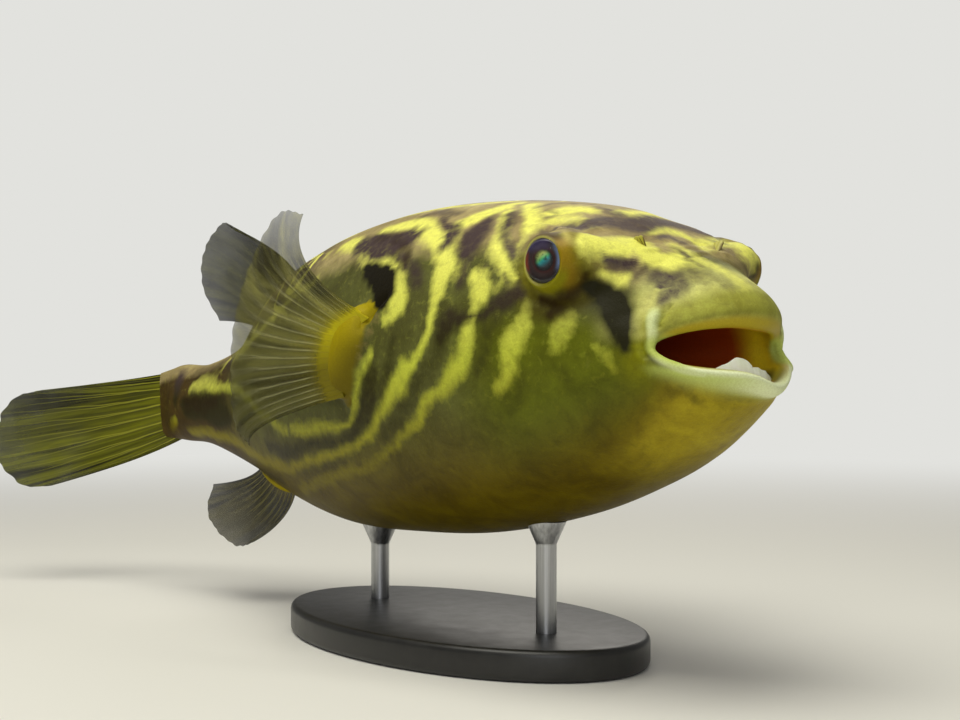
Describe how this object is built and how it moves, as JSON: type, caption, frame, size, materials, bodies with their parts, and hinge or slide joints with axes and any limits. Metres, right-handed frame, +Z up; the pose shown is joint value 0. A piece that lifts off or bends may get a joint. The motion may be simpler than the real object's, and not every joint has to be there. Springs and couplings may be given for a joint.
{
  "type": "giant freshwater pufferfish model",
  "caption": "Still, life-size model of a stout freshwater pufferfish with an open beaked mouth and a tail swung to its right, held over an oval plate by short rods.",
  "frame": {"origin": "middle of the bounding box on the surface the stand rests on", "axes": "+X towards the fish's snout, +Y towards its left side, +Z up"},
  "size_m": [0.4743, 0.1776, 0.1826],
  "materials": {
    "skin": "moist scaleless skin, olive and yellow with dark maze-like bands",
    "lips": "moist thick skin, pale olive with whitish lips",
    "fin_lobe": "moist fleshy skin, orange-yellow",
    "fin": "thin rayed membrane, olive with fine pale rays",
    "eye": "wet dark eye with a green reflex under a clear cornea",
    "tooth": "polished ivory beak plate",
    "stand_plate": "satin black plate with a bevelled rim",
    "stand_rod": "brushed steel rod"
  },
  "bodies": {
    "root": {"head": "skin", "trunk_front": "skin", "trunk_rear": "skin", "tail_stalk": "skin", "lower_jaw": "lips", "upper_jaw": "lips", "nasal_flap_right": "lips", "nasal_flap_left": "lips", "pectoral_base_right": "fin_lobe", "pectoral_base_left": "fin_lobe", "dorsal_base": "fin_lobe", "anal_base": "fin_lobe", "pectoral_fin_right": "fin", "pectoral_fin_left": "fin", "dorsal_fin": "fin", "anal_fin": "fin", "caudal_fin": "fin", "eye_right": "eye", "eye_left": "eye", "lower_tooth_right": "tooth", "lower_tooth_left": "tooth", "stand_base": "stand_plate", "stand_rod_front": "stand_rod", "stand_rod_rear": "stand_rod"}
  },
  "joints": []
}
